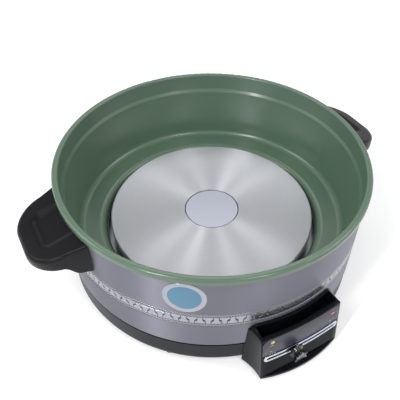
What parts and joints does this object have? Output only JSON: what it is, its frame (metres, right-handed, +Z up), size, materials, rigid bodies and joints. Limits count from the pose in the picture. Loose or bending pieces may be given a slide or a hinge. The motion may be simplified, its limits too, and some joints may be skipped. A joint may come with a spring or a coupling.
{
  "type": "electric hot pot heating base",
  "caption": "Round countertop hot pot base: coated well with a central heating plate, sprung sensor, side handles and a front slide control.",
  "frame": {"origin": "on the floor, on the axis of the round well", "axes": "+Z up, -Y towards the user and the control housing, +X towards the right handle"},
  "size_m": [0.413, 0.3585, 0.14],
  "materials": {
    "green_coating": "smooth satin enamel-like coating",
    "brushed_steel": "fine upright brushing, clear satin",
    "black_base": "fine satin moulded",
    "cover_steel": "plain rolled sheet",
    "cast_plate": "turned face with fine concentric marks",
    "fastener_steel": "bright plated",
    "element_sheath": "dark oxidised tube",
    "sensor_cap": "fine satin",
    "sheet_steel": "plain bright sheet",
    "handle_black": "smooth moulded phenolic",
    "housing_black": "glossy moulded",
    "panel_grey": "satin printed sheet",
    "chrome_trim": "bright",
    "knob_black": "smooth moulded",
    "thermostat_ceramic": "unglazed",
    "rubber_black": "soft matte",
    "amber_lens": "translucent lens",
    "red_lens": "translucent lens",
    "inlet_black": "moulded"
  },
  "bodies": {
    "cooker": {"inner_liner": "green_coating", "outer_drum": "brushed_steel", "base_ring": "black_base", "bottom_cover": "cover_steel", "heating_plate": "cast_plate", "plate_posts": "sheet_steel", "post_nuts": "fastener_steel", "heat_shield": "sheet_steel", "heating_element": "element_sheath", "sensor_guide": "sheet_steel", "thermal_fuse": "thermostat_ceramic", "control_housing": "housing_black", "face_plate": "panel_grey", "slot_trim": "chrome_trim", "thermostat_body": "thermostat_ceramic", "right_handle": "handle_black", "left_handle": "handle_black", "right_handle_screws": "fastener_steel", "left_handle_screws": "fastener_steel", "rubber_feet": "rubber_black", "cover_screws": "fastener_steel", "flange_screws": "fastener_steel", "heating_lamp_lens": "amber_lens", "power_lamp_lens": "red_lens", "power_inlet": "inlet_black"},
    "sensor": {"sensor_cap": "sensor_cap", "stem_clip": "fastener_steel", "sensor_spring": "fastener_steel"},
    "slider": {"control_knob": "knob_black", "knob_slider": "knob_black"},
    "fork": {"fork_arm": "sheet_steel", "thermostat_spindle": "fastener_steel"}
  },
  "joints": [
    {"name": "temperature_slide", "type": "slide", "parent": "cooker", "child": "slider", "axis": [1, 0, 0], "range_m": [-0.0266, 0.0474]},
    {"name": "thermostat_turn", "type": "hinge", "parent": "cooker", "child": "fork", "pos_m": [0, -0.06, 0.025], "axis": [0, 0, 1], "range_deg": [-14.06, 24.98]},
    {"name": "sensor_press", "type": "slide", "parent": "cooker", "child": "sensor", "axis": [0, 0, 1], "range_m": [-0.003, 0], "stiffness_N_per_m": 800, "springref_m": 0.003, "deforming": ["sensor_spring"]}
  ],
  "couplings": [
    {"joint": "thermostat_turn", "follows": "temperature_slide", "rad_per_m": 9.163}
  ]
}
